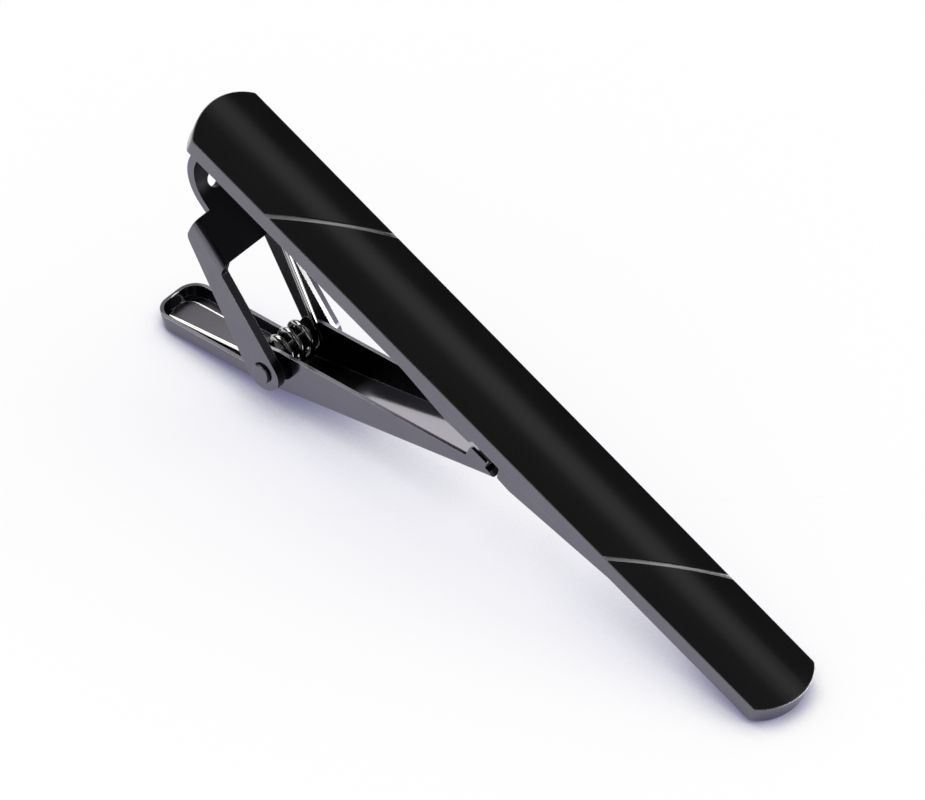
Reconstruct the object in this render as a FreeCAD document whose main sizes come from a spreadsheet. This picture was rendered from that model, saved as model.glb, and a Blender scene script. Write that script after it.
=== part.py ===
"""Tie clip: a domed bar with a sprung jaw lever, lying on a table on its tail and its thumb tab.

The bar, its clasp bracket and the coil are drawn in the bar's own frame: X runs along the bar from the
tip of the clasp end, Y across it, Z up from the top edge of its sides. The lever is drawn about its
pivot, with X along the floor of its jaw. The last step lays everything down as it rests.
"""
import FreeCAD, Part
import math
import os
import re
import Sketcher

Vector = FreeCAD.Vector
Placement = FreeCAD.Placement
Rotation = FreeCAD.Rotation
ALONG = Vector(1, 0, 0)
ACROSS = Vector(0, 1, 0)
UP = Vector(0, 0, 1)

DRIVING_SIZES = {
    # bar: a solid metal strip, a little narrower at the tail
    "bar_length": 58.0,
    "clasp_end_width": 6.4,
    "tail_end_width": 6.15,
    "side_height": 1.35,
    "dome_rise": 0.42,
    "end_bulge": 1.27,
    "corner_round": 0.35,
    # black fields on the face, and the two slanted grooves between them
    "enamel_thickness": 0.07,
    "enamel_inset": 0.05,
    "groove_width": 0.3,
    "groove_depth": 0.03,
    "first_groove_inset": 12.0,
    "second_groove_inset": 12.74,
    "groove_angle": 43.4,
    # swelling on the bar's back, with the notch that the jaw closes into
    "saddle_start": 21.4,
    "saddle_length": 22.2,
    "heel_swell_run": 5.8,
    "heel_swell_depth": 0.78,
    "heel_end_depth": 0.66,
    "notch_run": 8.0,
    "notch_length": 2.8,
    "notch_depth": 0.27,
    "notch_slope_run": 0.15,
    "lip_depth": 1.3,
    "peak_run": 12.2,
    "peak_depth": 1.4,
    "notch_round": 0.2,
    # bracket: tongue under the bar, web, and two arms down to the pin
    "bracket_sheet": 0.6,
    "tongue_width": 3.3,
    "tongue_setback": 1.05,
    "curl_radius": 2.2,
    "seat_length": 3.2,
    "tongue_straight": 0.65,
    "bend_radius": 3.5,
    "web_slope_angle": 22.0,
    "web_length": 4.45,
    "tongue_hole_radius": 0.6,
    "tongue_hole_angle": 51.0,
    "arm_thickness": 0.7,
    "arm_end_radius": 1.5,
    "arm_top_run": 0.7,
    "arm_step": 0.8,
    "arm_step_run": 0.45,
    "arm_step_round": 0.35,
    "heel_run": 4.1,
    "heel_drop": 9.0,
    "heel_round": 0.95,
    "fold_round": 0.6,
    # pivot
    "pin_run": 13.7,
    "pin_drop": 14.6,
    "pin_radius": 0.55,
    "head_radius": 0.8,
    "head_height": 0.24,
    "head_bevel": 0.12,
    # lever: a stamped tray about the pivot
    "lever_width": 4.3,
    "lever_sheet": 0.28,
    "lever_slope_angle": 35.2,
    "floor_drop": 2.25,
    "floor_round": 0.3,
    "knee_back": 2.5,
    "knee_round": 3.0,
    "thumb_reach": 11.85,
    "thumb_rise_angle": 7.9,
    "thumb_end_depth": 1.35,
    "thumb_round": 1.5,
    "rim_back": 2.7,
    "rim_height": 1.3,
    "ear_back": 0.45,
    "ear_front": 0.9,
    "ear_height": 1.36,
    "ear_round": 0.6,
    "wall_end_height": 1.2,
    "tab_run": 7.85,
    "tab_length": 2.55,
    "side_tooth_length": 1.68,
    "side_tooth_drop": 1.93,
    "tooth_round": 0.3,
    "ridge_drop": 2.48,
    "ridge_width": 0.42,
    "middle_tooth_width": 1.9,
    "panel_half_width": 1.12,
    "panel_rise": 0.14,
    "panel_reach": 9.3,
    "panel_length": 8.05,
    # coil
    "wire_diameter": 0.32,
    "coil_radius": 1.25,
    "coil_pitch": 0.84,
    "coil_offset": 0.05,
    "coil_hang": 0.2,
    "thumb_leg_length": 10.7,
    # clearances, and one overrun for every cut
    "arm_clearance": 0.4,
    "running_clearance": 0.05,
    "jaw_clearance": 0.2,
    "leg_clearance": 0.1,
    "overrun": 1.0,
}
COIL_TURNS = 3
ARCS_PER_TURN = 4
SETTLING_STEPS = 6
NEARNESS_SHARE = 0.01
SIZE_NAME = re.compile(r"\b(" + "|".join(DRIVING_SIZES) + r")\b")

# Sizes that several pieces share, each written in the driving sizes.
ARM_INNER = "(lever_width / 2 + arm_clearance)"
ARM_OUTER = "(lever_width / 2 + arm_clearance + arm_thickness)"
DOME_RADIUS = "((clasp_end_width ^ 2 / 4 + dome_rise ^ 2) / (2 * dome_rise))"
CURL_X = "(tongue_setback + curl_radius)"
CURL_Z = "(-side_height - curl_radius)"
BEND_X = "(tongue_setback + bend_radius)"
BEND_Z = "(-side_height - curl_radius - tongue_straight)"
NOTCH_X = "(saddle_start + notch_run)"
TAB_X = "(saddle_start + tab_run)"
TAB_Z = "(-side_height - notch_depth - jaw_clearance)"
RIDGE_X = "(saddle_start + tab_run + side_tooth_length)"
RIDGE_Z = "(-side_height - notch_depth - jaw_clearance - ridge_drop)"
FLOOR_TOP = "(lever_sheet - floor_drop)"
STEP_RUN = "(web_length + arm_step_run)"
KNEE_X = "(lever_sheet * tan(thumb_rise_angle / 2) - knee_back)"
GROOVE_MIDDLE = "((bar_length + first_groove_inset - second_groove_inset) / 2)"
GROOVE_SPACING = "(bar_length - first_groove_inset - second_groove_inset)"

doc = FreeCAD.newDocument("tie_clip")
sheet = doc.addObject("Spreadsheet::Sheet", "sizes")
for row, (size_name, size_value) in enumerate(DRIVING_SIZES.items(), start=1):
    sheet.set("A%d" % row, size_name)
    sheet.set("B%d" % row, str(size_value))
    sheet.setAlias("B%d" % row, size_name)
doc.recompute()


def bound(text):
    """An expression in size names, as the sheet knows them."""
    return SIZE_NAME.sub(r"sizes.\1", text)


def value(text):
    """The number that an expression in size names comes to."""
    return float(sheet.evalExpression(bound(text)))


def new_sketch(body, name, role):
    """A sketch on one of the body's own origin planes."""
    sketch = body.newObject("Sketcher::SketchObject", name)
    plane = [item for item in body.Origin.OriginFeatures if item.Role == role][0]
    sketch.AttachmentSupport = [(plane, "")]
    sketch.MapMode = "FlatFace"
    return sketch


def hold(sketch, kind, references, text):
    """A sized constraint, bound to an expression."""
    index = sketch.addConstraint(Sketcher.Constraint(kind, *references, value(text)))
    sketch.setExpression("Constraints[%d]" % index, bound(text))


def hold_point(sketch, edge, end, place):
    """Holds one end of an edge at a place given as two expressions."""
    hold(sketch, "DistanceX", (edge, end), place[0])
    hold(sketch, "DistanceY", (edge, end), place[1])


def flat_point(place):
    return Vector(value(place[0]), value(place[1]), 0)


def arc_between(first, last, radius, anticlockwise):
    """The shorter arc between two points, turning the way that is asked."""
    chord = last - first
    reach = math.sqrt(radius ** 2 - (chord.Length / 2) ** 2)
    side = Vector(-chord.y, chord.x, 0).normalize() * (reach if anticlockwise else -reach)
    centre = (first + last) / 2 + side
    ends = (first, last) if anticlockwise else (last, first)
    angles = [math.atan2(point.y - centre.y, point.x - centre.x) for point in ends]
    return Part.ArcOfCircle(Part.Circle(centre, UP, radius), *angles)


def draw_outline(sketch, places, arcs=None):
    """A closed outline through places given as expressions.

    arcs maps the number of an edge to its radius and to whether it turns anticlockwise.
    """
    arcs = arcs or {}
    points = [flat_point(place) for place in places]
    ends = []
    for index, first in enumerate(points):
        last = points[(index + 1) % len(points)]
        if index in arcs:
            radius, anticlockwise = arcs[index]
            sketch.addGeometry(arc_between(first, last, value(radius), anticlockwise))
            ends.append((1, 2) if anticlockwise else (2, 1))
        else:
            sketch.addGeometry(Part.LineSegment(first, last))
            ends.append((1, 2))
    for index in range(len(points)):
        following = (index + 1) % len(points)
        meeting = (index, ends[index][1], following, ends[following][0])
        sketch.addConstraint(Sketcher.Constraint("Coincident", *meeting))
    for index, place in enumerate(places):
        hold_point(sketch, index, ends[index][0], place)
    for index, (radius, anticlockwise) in arcs.items():
        hold(sketch, "Radius", (index,), radius)


def extrude(body, kind, name, sketch, length, symmetric=True):
    """A pad or a pocket of a sketch; a symmetric one reaches half its length each way."""
    feature = body.newObject("PartDesign::" + kind, name)
    feature.Profile = sketch
    feature.SideType = "Symmetric" if symmetric else "One side"
    feature.setExpression("Length", bound(length))
    doc.recompute()


def pad_of(name, role, places, length, arcs=None, symmetric=True):
    """A body that is one padded outline."""
    body = doc.addObject("PartDesign::Body", name)
    sketch = new_sketch(body, name + "_outline", role)
    draw_outline(sketch, places, arcs)
    extrude(body, "Pad", name + "_pad", sketch, length, symmetric)
    return body


def round_edges(body, name, wanted, along, radius):
    """Rounds the edges of the body's last feature that run one way and whose ends all pass a test."""
    base = body.Tip
    picked = []
    for number, edge in enumerate(base.Shape.Edges, start=1):
        heading = edge.tangentAt(edge.FirstParameter)
        runs_along = heading.cross(along).Length < NEARNESS_SHARE
        if runs_along and all(wanted(vertex.Point) for vertex in edge.Vertexes):
            picked.append("Edge%d" % number)
    if not picked:
        raise ValueError("no edge found for " + name)
    rounding = body.newObject("PartDesign::Fillet", name)
    rounding.Base = (base, picked)
    rounding.setExpression("Radius", bound(radius))
    doc.recompute()


def close(first, second):
    return abs(first - second) < value("overrun") * NEARNESS_SHARE


def passes(*places):
    """A test for points that lie, in the side view, on one of the places."""
    spots = [flat_point(place) for place in places]
    return lambda point: any(close(point.x, spot.x) and close(point.z, spot.y) for spot in spots)


def combine(kind, name, base, tool):
    """A cut, a fuse or a common of two objects."""
    result = doc.addObject("Part::" + kind, name)
    result.Base = base
    result.Tool = tool
    result.Refine = True
    return result


def rod(name, radius, length, middle, direction):
    """A cylinder about its middle point."""
    solid = doc.addObject("Part::Cylinder", name)
    solid.setExpression("Radius", bound(radius))
    solid.setExpression("Height", bound(length))
    lowered = Placement(UP * (-value(length) / 2), Rotation())
    solid.Placement = Placement(middle, Rotation(UP, direction)).multiply(lowered)
    return solid


def dome_rod(name, radius):
    """A cylinder along the bar whose skin follows the dome."""
    middle = Vector(value("bar_length / 2"), 0, value("dome_rise - " + DOME_RADIUS))
    return rod(name, radius, "bar_length + 2 * overrun", middle, ALONG)


def slanted_box(name, start, end):
    """A block between two slanted planes, each so far from the grooves' middle along their normal."""
    block = doc.addObject("Part::Box", name)
    block.setExpression("Length", bound("(%s) - (%s)" % (end, start)))
    block.setExpression("Width", bound("2 * bar_length"))
    block.setExpression("Height", bound("2 * bar_length"))
    turned = Placement(Vector(value(GROOVE_MIDDLE), 0, 0), Rotation(UP, value("groove_angle - 90")))
    corner = Vector(value(start), -value("bar_length"), -value("bar_length"))
    block.Placement = turned.multiply(Placement(corner, Rotation()))
    return block


def bar_plan(inset):
    """The bar's plan, drawn in by an inset, with the radii of its two round ends."""
    places = []
    radii = []
    for end_x, width in (("end_bulge", "clasp_end_width"), ("bar_length - end_bulge", "tail_end_width")):
        half = "(%s / 2 - %s)" % (width, inset)
        sign = "+" if width == "clasp_end_width" else "-"
        places.append(("%s %s %s" % (end_x, sign, inset), half))
        radii.append("(%s ^ 2 + end_bulge ^ 2) / (2 * end_bulge)" % half)
    (left_x, left_half), (right_x, right_half) = places
    outline = [
        (left_x, "-" + left_half),
        (right_x, "-" + right_half),
        (right_x, right_half),
        (left_x, left_half),
    ]
    return outline, {1: (radii[1], True), 3: (radii[0], True)}


def bar_blank(name, inset):
    outline, arcs = bar_plan(inset)
    blank = pad_of(name, "XY_Plane", outline, "side_height + dome_rise + enamel_thickness", arcs, False)
    round_edges(blank, name + "_corners", lambda point: True, UP, "corner_round")
    blank.setExpression(".Placement.Base.z", bound("-side_height"))
    return blank


GROOVE_REACH = "(%s / 2 * sin(groove_angle))" % GROOVE_SPACING


def make_bar():
    """The metal bar, and the three black fields bedded on its dome."""
    dome = dome_rod("dome", DOME_RADIUS)
    metal = combine("Common", "bar_domed", bar_blank("bar_blank", "0"), dome)
    bed = dome_rod("groove_bed", DOME_RADIUS + " - groove_depth")
    for name, side in (("first_groove", "-"), ("second_groove", "")):
        start = "%s%s - groove_width / 2" % (side, GROOVE_REACH)
        end = "%s%s + groove_width / 2" % (side, GROOVE_REACH)
        cutter = combine("Cut", name + "_cutter", slanted_box(name + "_block", start, end), bed)
        metal = combine("Cut", name, metal, cutter)
    skin = combine("Cut", "skin", dome_rod("face", DOME_RADIUS + " + enamel_thickness"), dome)
    field = combine("Common", "field", bar_blank("field_blank", "enamel_inset"), skin)
    inner = "%s - groove_width / 2" % GROOVE_REACH
    outer = "%s + groove_width / 2" % GROOVE_REACH
    spans = {
        "enamel_left": ("-bar_length", "-(%s)" % outer),
        "enamel_middle": ("-(%s)" % inner, "(%s)" % inner),
        "enamel_right": ("(%s)" % outer, "bar_length"),
    }
    pieces = {"bar_body": metal}
    for name, (start, end) in spans.items():
        pieces[name] = combine("Common", name, field, slanted_box(name + "_block", start, end))
    return pieces


def make_saddle():
    """The swelling on the bar's back: a low heel, the notch, a lip, and a long run-out."""
    start = "saddle_start"
    notch_end = NOTCH_X + " + notch_length"
    places = [
        (start, "-side_height"),
        (start + " + heel_swell_run", "-side_height - heel_swell_depth"),
        (NOTCH_X, "-side_height - heel_end_depth"),
        (NOTCH_X + " + notch_slope_run", "-side_height - notch_depth"),
        (notch_end, "-side_height - notch_depth"),
        (notch_end + " + notch_slope_run", "-side_height - lip_depth"),
        (start + " + peak_run", "-side_height - peak_depth"),
        (start + " + saddle_length", "-side_height"),
    ]
    body = pad_of("jaw_saddle", "XZ_Plane", places, "tail_end_width")
    round_edges(body, "notch_rounding", passes(*places[2:6]), ACROSS, "notch_round")
    return body


def on_web(along, above):
    """A place by the web: so far along its upper face from where that starts, and so far above it."""
    start_x = BEND_X + " - (bend_radius - bracket_sheet) * sin(web_slope_angle)"
    start_z = BEND_Z + " - (bend_radius - bracket_sheet) * cos(web_slope_angle)"
    x = "%s + (%s) * cos(web_slope_angle) + (%s) * sin(web_slope_angle)" % (start_x, along, above)
    z = "%s - (%s) * sin(web_slope_angle) + (%s) * cos(web_slope_angle)" % (start_z, along, above)
    return x, z


def draw_arm(sketch):
    """An arm's outline: web, heel, a round end about the pin, and a step down from the web's far edge."""
    top = on_web("arm_top_run", "0")
    heel = ("heel_run", "-heel_drop")
    step = on_web(STEP_RUN, "-arm_step")
    corner = on_web("web_length", "0")
    hub = ("pin_run", "-pin_drop")
    touches = []
    for place, side in ((heel, 1), (step, -1)):
        reach = flat_point(place) - flat_point(hub)
        spread = math.acos(value("arm_end_radius") / reach.Length)
        touches.append(math.atan2(reach.y, reach.x) + side * spread)
    circle = Part.Circle(flat_point(hub), UP, value("arm_end_radius"))
    lower, upper = (circle.value(turn) for turn in touches)
    sketch.addGeometry(Part.LineSegment(flat_point(top), flat_point(heel)))
    sketch.addGeometry(Part.LineSegment(flat_point(heel), lower))
    sketch.addGeometry(Part.ArcOfCircle(circle, *touches))
    sketch.addGeometry(Part.LineSegment(upper, flat_point(step)))
    sketch.addGeometry(Part.LineSegment(flat_point(step), flat_point(corner)))
    sketch.addGeometry(Part.LineSegment(flat_point(corner), flat_point(top)))
    for kind, first, second in (("Coincident", 0, 1), ("Tangent", 1, 2), ("Tangent", 2, 3),
                                ("Coincident", 3, 4), ("Coincident", 4, 5), ("Coincident", 5, 0)):
        sketch.addConstraint(Sketcher.Constraint(kind, first, 2, second, 1))
    for edge, end, place in ((0, 1, top), (1, 1, heel), (4, 1, step), (5, 1, corner), (2, 3, hub)):
        hold_point(sketch, edge, end, place)
    hold(sketch, "Radius", (2,), "arm_end_radius")


def make_stirrup():
    """The bracket: two arms and a web folded from sheet, and a tongue curled up under the bar."""
    body = doc.addObject("PartDesign::Body", "bracket")
    sketch = new_sketch(body, "arm_outline", "XZ_Plane")
    draw_arm(sketch)
    extrude(body, "Pad", "arms", sketch, "2 * " + ARM_OUTER)
    window = new_sketch(body, "window_outline", "XZ_Plane")
    draw_outline(window, [
        on_web("-overrun", "-bracket_sheet"),
        on_web("-overrun", "-pin_drop"),
        on_web("pin_run + pin_drop", "-pin_drop"),
        on_web("pin_run + pin_drop", "overrun"),
        on_web("web_length", "overrun"),
        on_web("web_length", "-bracket_sheet"),
    ])
    extrude(body, "Pocket", "window", window, "2 * " + ARM_INNER)
    ends = passes(on_web("arm_top_run", "0"), on_web("web_length", "0"))
    outer = value(ARM_OUTER)
    slope = math.radians(value("web_slope_angle"))
    downhill = Vector(math.cos(slope), 0, -math.sin(slope))
    round_edges(body, "folds", lambda point: ends(point) and close(abs(point.y), outer),
                downhill, "fold_round")
    round_edges(body, "heels", passes(("heel_run", "-heel_drop")), ACROSS, "heel_round")
    round_edges(body, "steps", passes(on_web(STEP_RUN, "-arm_step")), ACROSS, "arm_step_round")
    strip = new_sketch(body, "tongue_outline", "XZ_Plane")
    inner_x = "tongue_setback + bracket_sheet"
    draw_outline(strip, [
        (CURL_X + " + seat_length", "-side_height"),
        (CURL_X, "-side_height"),
        ("tongue_setback", CURL_Z),
        ("tongue_setback", BEND_Z),
        on_web("0", "-bracket_sheet"),
        on_web("web_length", "-bracket_sheet"),
        on_web("web_length", "0"),
        on_web("0", "0"),
        (inner_x, BEND_Z),
        (inner_x, CURL_Z),
        (CURL_X, "-side_height - bracket_sheet"),
        (CURL_X + " + seat_length", "-side_height - bracket_sheet"),
    ], {
        1: ("curl_radius", True),
        3: ("bend_radius", True),
        7: ("bend_radius - bracket_sheet", False),
        9: ("curl_radius - bracket_sheet", False),
    })
    extrude(body, "Pad", "tongue", strip, "tongue_width")
    turn = math.radians(value("180 + tongue_hole_angle"))
    outward = Vector(math.cos(turn), 0, math.sin(turn))
    bend = Vector(value(BEND_X), 0, value(BEND_Z))
    hole = rod("tongue_hole", "tongue_hole_radius", "2 * (bracket_sheet + overrun)",
               bend + outward * value("bend_radius"), outward)
    bore = rod("arm_bore", "pin_radius", "2 * (%s + overrun)" % ARM_OUTER, pin_point(), ACROSS)
    return combine("Cut", "stirrup", combine("Cut", "bracket_holed", body, hole), bore)


def pin_point():
    return Vector(value("pin_run"), 0, value("-pin_drop"))


def make_pin():
    """The pivot pin: a plain shaft with a low bevelled head beyond each arm."""
    body = doc.addObject("PartDesign::Body", "pivot_pin")
    sketch = new_sketch(body, "pin_outline", "XY_Plane")
    tip = "(%s + head_height)" % ARM_OUTER
    upper = [
        ("pin_radius", ARM_OUTER),
        ("head_radius", ARM_OUTER),
        ("head_radius", tip + " - head_bevel"),
        ("head_radius - head_bevel", tip),
        ("0", tip),
    ]
    lower = [(x, "-(%s)" % y) for x, y in reversed(upper)]
    draw_outline(sketch, lower + upper)
    turned = body.newObject("PartDesign::Revolution", "pin_turned")
    turned.Profile = sketch
    turned.ReferenceAxis = (sketch, ["V_Axis"])
    doc.recompute()
    return body


def by_tab(x, height):
    """Where, in the lever's frame, an upright on the bar at x stands at a height above the pivot."""
    run = "((%s - pin_run + (%s) * sin(lever_slope_angle)) / cos(lever_slope_angle))" % (x, height)
    return run, height


def from_bar(x, z):
    """A place in the bar's side view, as the lever's frame sees it."""
    run = "(%s - pin_run)" % x
    rise = "(%s + pin_drop)" % z
    return ("%s * cos(lever_slope_angle) + %s * sin(lever_slope_angle)" % (run, rise),
            "%s * cos(lever_slope_angle) - %s * sin(lever_slope_angle)" % (rise, run))


def thumb_height(x):
    """The height of the thumb tab's underside at a place behind the knee."""
    return "(-(%s) - knee_back) * tan(thumb_rise_angle) - floor_drop" % x


def make_lever():
    """The lever: a tray with a floor, two walls that rise to the ears, a thumb tab and a toothed jaw.

    Each wall ends in a low round tooth. A ridge closes the floor beyond them, and the middle tooth
    stands on it.
    """
    tooth_top = TAB_Z + " - side_tooth_drop"
    side_tooth = [from_bar(RIDGE_X, tooth_top), from_bar(TAB_X, tooth_top)]
    knee = ("-knee_back", "-floor_drop")
    ears = [("ear_front", "ear_height"), ("-ear_back", "ear_height")]
    thumb_bottom = thumb_height("-thumb_reach")
    tray = pad_of("tray", "XZ_Plane", [
        knee,
        by_tab(TAB_X + " + tab_length", "-floor_drop"),
        from_bar(RIDGE_X + " + ridge_width", RIDGE_Z),
        from_bar(RIDGE_X, RIDGE_Z),
        *side_tooth,
        by_tab(TAB_X, "wall_end_height - floor_drop"),
        *ears,
        ("-rim_back", "rim_height - floor_drop"),
        ("-thumb_reach", thumb_bottom + " + thumb_end_depth"),
        ("-thumb_reach", thumb_bottom),
    ], "lever_width")
    side = value("lever_width / 2")
    underside = value("-floor_drop")
    thumb_end = value("-thumb_reach")
    round_edges(tray, "knee_rounding", passes(knee), ACROSS, "knee_round")
    round_edges(tray, "ear_rounding", passes(*ears), ACROSS, "ear_round")
    round_edges(tray, "tooth_rounding", passes(*side_tooth), ACROSS, "tooth_round")
    round_edges(tray, "thumb_rounding", lambda point: close(point.x, thumb_end), UP, "thumb_round")
    round_edges(tray, "floor_rounding",
                lambda point: close(point.z, underside) and close(abs(point.y), side), ALONG, "floor_round")
    bore = rod("lever_bore", "pin_radius + running_clearance", "lever_width + 2 * overrun", Vector(), ACROSS)
    open_tray = combine("Cut", "tray_open", tray, make_hollow())
    bored_tray = combine("Cut", "tray_bored", open_tray, bore)
    toothed_tray = combine("Fuse", "tray_toothed", bored_tray, make_middle_tooth())
    return combine("Fuse", "lever", toothed_tray, make_panel())


def make_middle_tooth():
    """The tooth on the ridge that bites into the notch."""
    ridge_end = RIDGE_X + " + ridge_width"
    foot = RIDGE_Z + " - lever_sheet"
    return pad_of("middle_tooth", "XZ_Plane", [
        from_bar(RIDGE_X, foot),
        from_bar(ridge_end, foot),
        from_bar(ridge_end, TAB_Z),
        from_bar(RIDGE_X, TAB_Z),
    ], "middle_tooth_width")


def make_hollow():
    """The room inside the lever, from the jaw's ridge to the rim of the thumb tab."""
    inner_end = "lever_sheet - thumb_reach"
    above = "ear_height + floor_drop + overrun"
    inner_floor = thumb_height(inner_end) + " + lever_sheet / cos(thumb_rise_angle)"
    hollow = pad_of("hollow", "XZ_Plane", [
        (KNEE_X, FLOOR_TOP),
        by_tab(RIDGE_X, FLOOR_TOP),
        by_tab(RIDGE_X, above),
        (inner_end, above),
        (inner_end, inner_floor),
    ], "lever_width - 2 * lever_sheet")
    edge = value(inner_end)
    round_edges(hollow, "hollow_rounding", lambda point: close(point.x, edge),
                UP, "thumb_round - lever_sheet")
    return hollow


def make_panel():
    """The long oval pressed up in the floor of the thumb tab."""
    far = "panel_half_width - panel_reach"
    near = "panel_length - panel_reach - panel_half_width"
    quarter = ("panel_half_width", True)
    panel = pad_of("panel", "XY_Plane", [
        (far, "-panel_half_width"),
        (near, "-panel_half_width"),
        (near + " + panel_half_width", "0"),
        (near, "panel_half_width"),
        (far, "panel_half_width"),
        (far + " - panel_half_width", "0"),
    ], "lever_sheet / 2 + panel_rise", {1: quarter, 2: quarter, 4: quarter, 5: quarter}, False)
    tilt = Rotation(ACROSS, value("thumb_rise_angle"))
    foot = Placement(Vector(0, 0, -value("lever_sheet / 2")), Rotation())
    panel.Placement = Placement(Vector(value(KNEE_X), 0, value(FLOOR_TOP)), tilt).multiply(foot)
    return panel


def arc_from(start, heading, end):
    """The arc that leaves a point along a heading and reaches another point."""
    chord = end - start
    run = Vector(chord).normalize()
    lean = math.acos(min(1, heading.dot(run)))
    aside = (heading - run * heading.dot(run)).normalize()
    crown = start + chord / 2 + aside * (chord.Length / 2 * math.tan(lean / 2))
    return Part.Arc(start, crown, end).toShape()


def two_arcs(start, heading, end, last_heading):
    """Two arcs that meet smoothly, from a point and heading to another point and heading."""
    chord = end - start
    bend = 2 * (1 - heading.dot(last_heading))
    pull = chord.dot(heading + last_heading)
    reach = (math.sqrt(pull ** 2 + bend * chord.dot(chord)) - pull) / bend
    middle = (start + end + (heading - last_heading) * reach) / 2
    middle_heading = (end - last_heading * reach - start - heading * reach).normalize()
    return [arc_from(start, heading, middle), arc_from(middle, middle_heading, end)]


def least_gap(path, spacing, apart, diameter):
    """The least clear gap between stretches of a wire that lie further apart along it than asked."""
    points = path.discretize(Distance=spacing)
    skip = math.ceil(apart / spacing)
    closest = min(points[first].distanceToPoint(points[second])
                  for first in range(len(points)) for second in range(first + skip, len(points)))
    return closest - diameter


def make_spring():
    """The coil round the pin: one wire from over the thumb tab's floor to the curl of the tongue.

    The coil is wider than the pin and hangs a little back on it. The thumb leg leans so that its end
    clears the panel; the other leg points at the curl's middle, and so meets the curl squarely.
    """
    radius = value("coil_radius")
    leg = value("thumb_leg_length")
    wire = value("wire_diameter")
    rise = math.radians(value("thumb_rise_angle"))
    slope = math.radians(value("lever_slope_angle"))
    middle = pin_point() - ALONG * value("coil_hang")
    knee_x = value(KNEE_X) + value("coil_hang") * math.cos(slope)
    knee_z = value(FLOOR_TOP) - value("coil_hang") * math.sin(slope)
    floor = knee_x * math.sin(rise) + knee_z * math.cos(rise)
    lift = floor + value("wire_diameter / 2 + panel_rise + leg_clearance")
    lean = rise + math.asin(lift / math.hypot(leg, radius)) + math.atan2(radius, leg)
    first = slope - math.pi / 2 - lean
    curl = Vector(value(CURL_X), 0, value(CURL_Z)) - middle
    last = math.atan2(curl.z, curl.x) - math.acos(radius / curl.Length) + math.tau * COIL_TURNS
    count = round((last - first) / math.tau * ARCS_PER_TURN)
    advance = value("coil_pitch") / math.tau
    knots = []
    for index in range(count + 1):
        turn = first + (last - first) * index / count
        across = value("coil_offset") + advance * (turn - (first + last) / 2)
        on_end = index in (0, count)
        heading = Vector(-radius * math.sin(turn), 0 if on_end else advance, radius * math.cos(turn))
        place = middle + Vector(radius * math.cos(turn), across, radius * math.sin(turn))
        knots.append((place, heading.normalize()))
    (start, start_heading), (end, end_heading) = knots[0], knots[-1]
    tongue_leg = math.sqrt(curl.Length ** 2 - radius ** 2)
    tongue_leg += value("curl_radius - bracket_sheet - leg_clearance")
    thumb_tip = start - start_heading * leg
    edges = [Part.LineSegment(thumb_tip, start).toShape()]
    for (place, heading), (next_place, next_heading) in zip(knots, knots[1:]):
        edges += two_arcs(place, heading, next_place, next_heading)
    edges.append(Part.LineSegment(end, end + end_heading * tongue_leg).toShape())
    path = Part.Wire(edges)
    profile = Part.Wire(Part.Circle(thumb_tip, start_heading, wire / 2).toShape())
    spring = doc.addObject("Part::Feature", "torsion_spring")
    spring.Shape = path.makePipeShell([profile], True, False)
    print("least gap of the coil to itself: %.3f" % least_gap(path, wire / 4, math.pi * radius, wire))
    return spring


def lowest(shape, placement):
    """The lowest height that a shape reaches once it is placed."""
    placed = shape.copy()
    placed.Placement = placement.multiply(placed.Placement)
    return placed.optimalBoundingBox(False).ZMin


def resting_place(pieces, own_places):
    """Where the whole clip lies: tipped until tail and thumb tab both touch, centred over the origin."""
    doc.recompute()
    tilt = math.atan2(value("pin_drop"), value("bar_length"))
    for _ in range(SETTLING_STEPS):
        turned = Placement(Vector(), Rotation(ACROSS, math.degrees(tilt)))
        tail = lowest(pieces["bar_body"].Shape, turned)
        thumb = lowest(pieces["lever"].Shape, turned.multiply(own_places["lever"]))
        tilt += math.atan2(tail - thumb, value("bar_length"))
    box = FreeCAD.BoundBox()
    for name, piece in pieces.items():
        placed = piece.Shape.copy()
        placed.Placement = turned.multiply(own_places.get(name, Placement())).multiply(placed.Placement)
        box.add(placed.optimalBoundingBox(False))
    lengths = (box.XLength, box.YLength, box.ZLength)
    print("tilt %.4f degrees" % math.degrees(tilt))
    print("box %.3f x %.3f x %.3f" % lengths)
    return Placement(Vector(-box.Center.x, -box.Center.y, -box.ZMin), Rotation()).multiply(turned)


pieces = make_bar()
pieces["jaw_saddle"] = make_saddle()
pieces["stirrup"] = make_stirrup()
pieces["pivot_pin"] = make_pin()
pieces["lever"] = make_lever()
pieces["torsion_spring"] = make_spring()
own_places = {
    "pivot_pin": Placement(pin_point(), Rotation()),
    "lever": Placement(pin_point(), Rotation(ACROSS, -value("lever_slope_angle"))),
}
rest = resting_place(pieces, own_places)
for name, piece in pieces.items():
    piece.Label = name
    piece.Placement = rest.multiply(own_places.get(name, Placement()))
doc.recompute()

for item in doc.Objects:
    if "Invalid" in item.State or "Error" in item.State:
        raise ValueError(item.Label + " could not be built")
os.makedirs("parts", exist_ok=True)
for name, piece in pieces.items():
    shape = piece.Shape
    if shape.isNull() or not shape.isValid() or len(shape.Solids) != 1:
        raise ValueError(name + " is not one valid solid")
    shape.exportStep("parts/%s.step" % name)
    print("%-15s %8.3f mm3" % (name, shape.Volume))
print("pivot at", rest.multVec(pin_point()))
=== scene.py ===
"""Looks of a sprung tie clip: finishes, wound spring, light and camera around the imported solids."""
import logging
import math
from dataclasses import dataclass, field
from enum import Enum

import bmesh
import bpy
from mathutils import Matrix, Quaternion, Vector


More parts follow.
